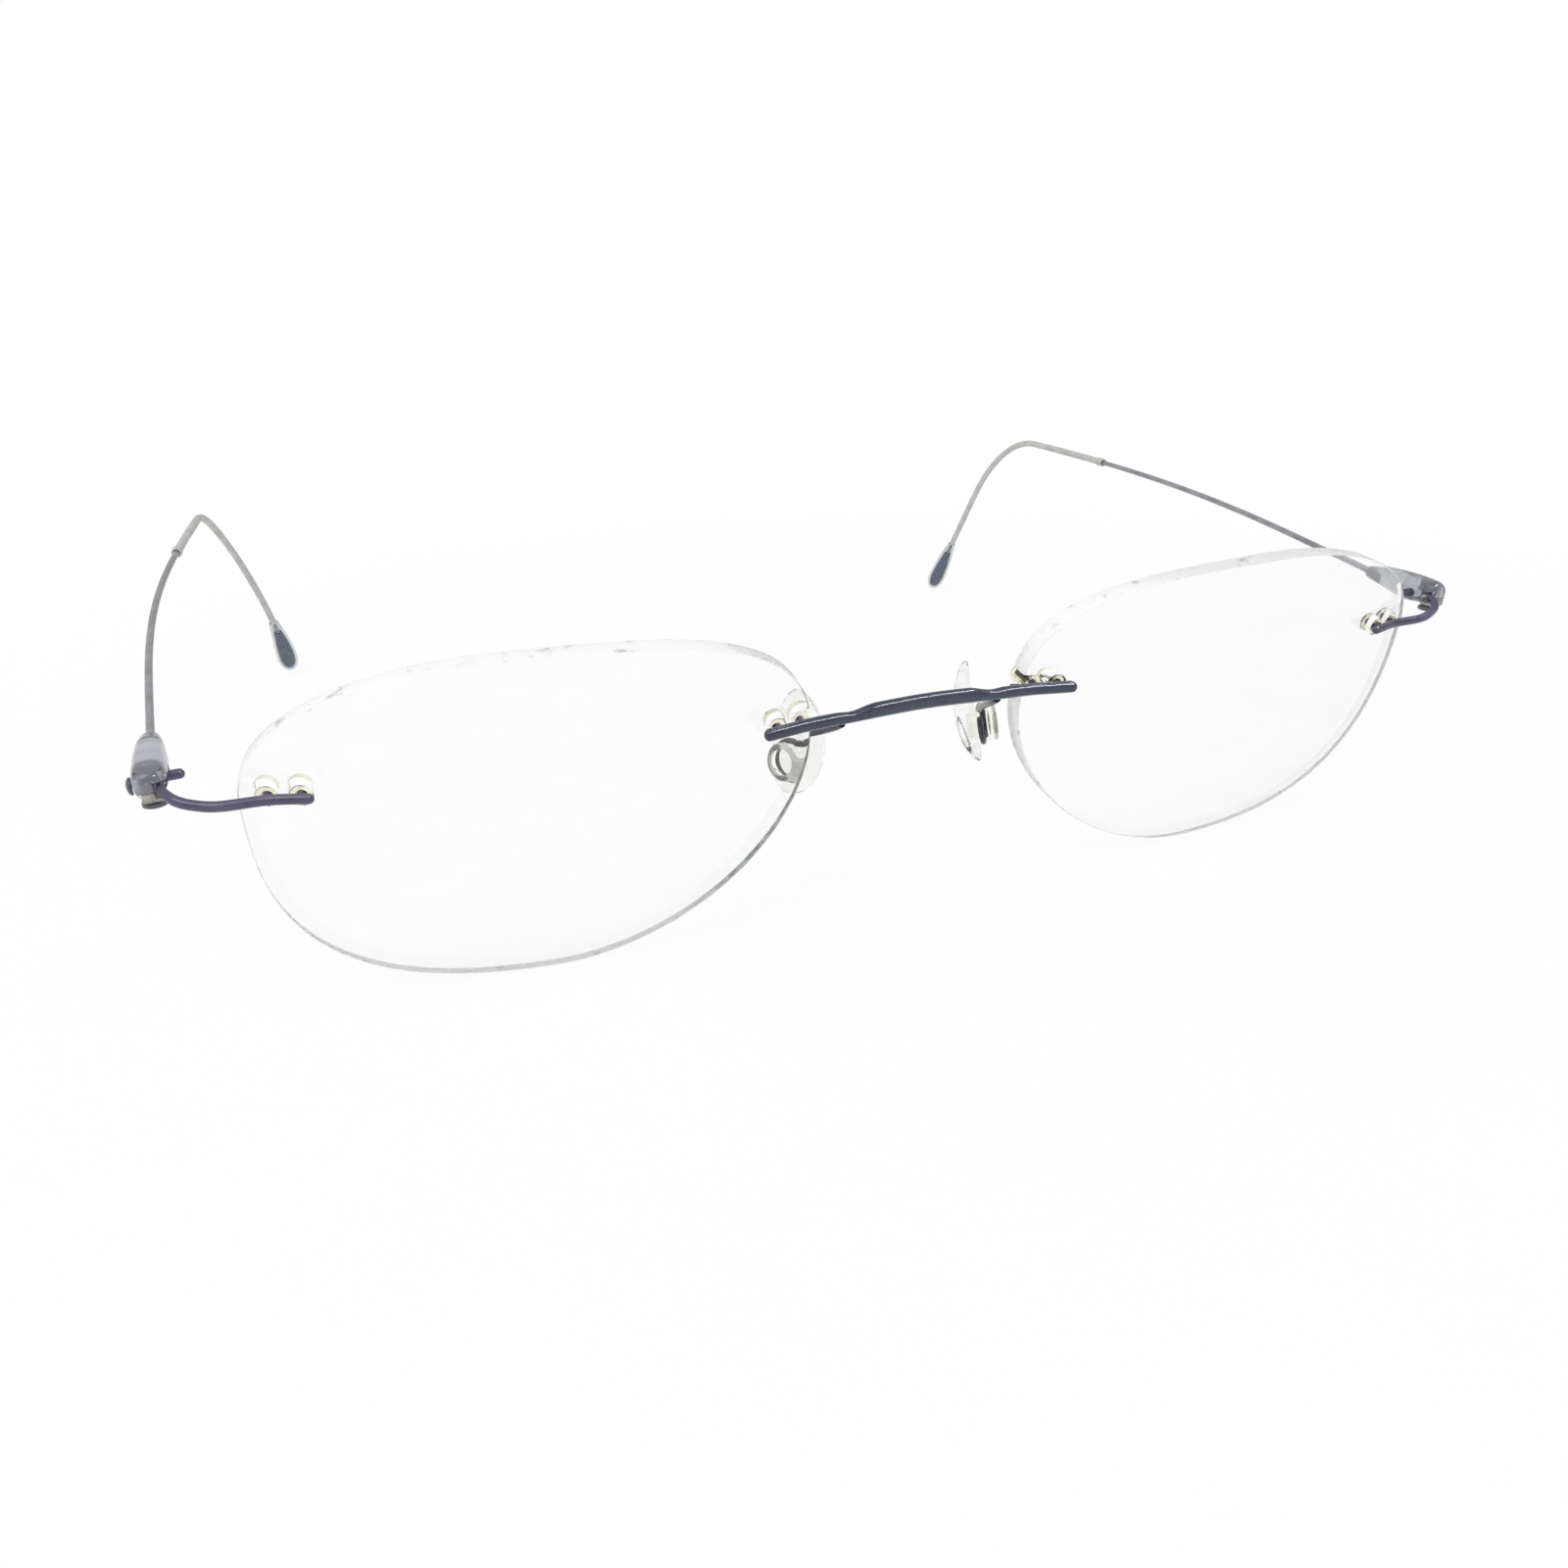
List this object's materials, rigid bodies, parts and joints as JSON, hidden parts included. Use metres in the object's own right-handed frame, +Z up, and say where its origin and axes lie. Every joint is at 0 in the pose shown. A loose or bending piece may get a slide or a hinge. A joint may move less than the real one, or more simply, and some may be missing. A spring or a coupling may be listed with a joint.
{
  "type": "rimless eyeglasses",
  "caption": "Rimless eyeglasses with drilled clear lenses, a one-piece bridge bar, rocking nose pads and thin wire temples that fold on moulded hinge housings.",
  "frame": {"origin": "on the ground under the middle of the bounding box, with the glasses standing on the lower edges of the lenses and on the temple tips", "axes": "+X towards the wearer's left, +Y from the lenses back to the temple tips, +Z up"},
  "size_m": [0.142, 0.1334, 0.0324],
  "materials": {
    "lens": "clear coated plastic lens, polished faces and a fine-ground edge",
    "bushing": "clear plastic, yellowed",
    "bridge": "glossy near-black navy lacquer on titanium",
    "endpiece": "satin purple-grey lacquer on titanium wire",
    "hinge_post": "satin dark metal",
    "pad_arm": "satin dark lacquer on thin wire",
    "nose_pad": "clear soft silicone, slightly yellowed",
    "pad_insert": "clear hard plastic, brownish grey",
    "hinge_housing": "translucent smoke-grey moulded plastic",
    "bearing_block": "translucent amber plastic",
    "cross_pin": "glossy dark metal",
    "ferrule": "satin dark steel",
    "temple_wire": "satin grey-purple lacquer on titanium wire",
    "ear_sleeve": "pale grey-green silicone tube",
    "tip_core": "slate plastic",
    "temple_tip": "clear soft silicone"
  },
  "bodies": {
    "front": {"lens_left": "lens", "lens_right": "lens", "bushing_nose_inner_left": "bushing", "bushing_nose_inner_right": "bushing", "bushing_nose_outer_left": "bushing", "bushing_nose_outer_right": "bushing", "bushing_temple_inner_left": "bushing", "bushing_temple_inner_right": "bushing", "bushing_temple_outer_left": "bushing", "bushing_temple_outer_right": "bushing", "bridge_bar": "bridge", "endpiece_left": "endpiece", "endpiece_right": "endpiece", "hinge_post_left": "hinge_post", "hinge_post_right": "hinge_post", "pad_arm_left": "pad_arm", "pad_arm_right": "pad_arm"},
    "temple_left": {"hinge_housing_left": "hinge_housing", "bearing_block_left": "bearing_block", "cross_pin_left": "cross_pin", "wire_ferrule_left": "ferrule", "temple_wire_left": "temple_wire", "ear_sleeve_left": "ear_sleeve", "tip_core_left": "tip_core", "temple_tip_left": "temple_tip"},
    "temple_right": {"hinge_housing_right": "hinge_housing", "bearing_block_right": "bearing_block", "cross_pin_right": "cross_pin", "wire_ferrule_right": "ferrule", "temple_wire_right": "temple_wire", "ear_sleeve_right": "ear_sleeve", "tip_core_right": "tip_core", "temple_tip_right": "temple_tip"},
    "pad_left": {"nose_pad_left": "nose_pad", "pad_insert_left": "pad_insert"},
    "pad_right": {"nose_pad_right": "nose_pad", "pad_insert_right": "pad_insert"}
  },
  "joints": [
    {"name": "temple_fold_left", "type": "hinge", "parent": "front", "child": "temple_left", "pos_m": [0.06489, -0.05887, 0.02392], "axis": [0, 0, 1], "range_deg": [0, 86]},
    {"name": "temple_fold_right", "type": "hinge", "parent": "front", "child": "temple_right", "pos_m": [-0.06489, -0.05887, 0.02392], "axis": [0, 0, -1], "range_deg": [0, 78]},
    {"name": "pad_rock_left", "type": "hinge", "parent": "front", "child": "pad_left", "pos_m": [0.01065, -0.05583, 0.01594], "axis": [0.5, 0.866, 0], "range_deg": [-6, 6]},
    {"name": "pad_rock_right", "type": "hinge", "parent": "front", "child": "pad_right", "pos_m": [-0.01065, -0.05583, 0.01594], "axis": [-0.5, 0.866, 0], "range_deg": [-6, 6]}
  ]
}
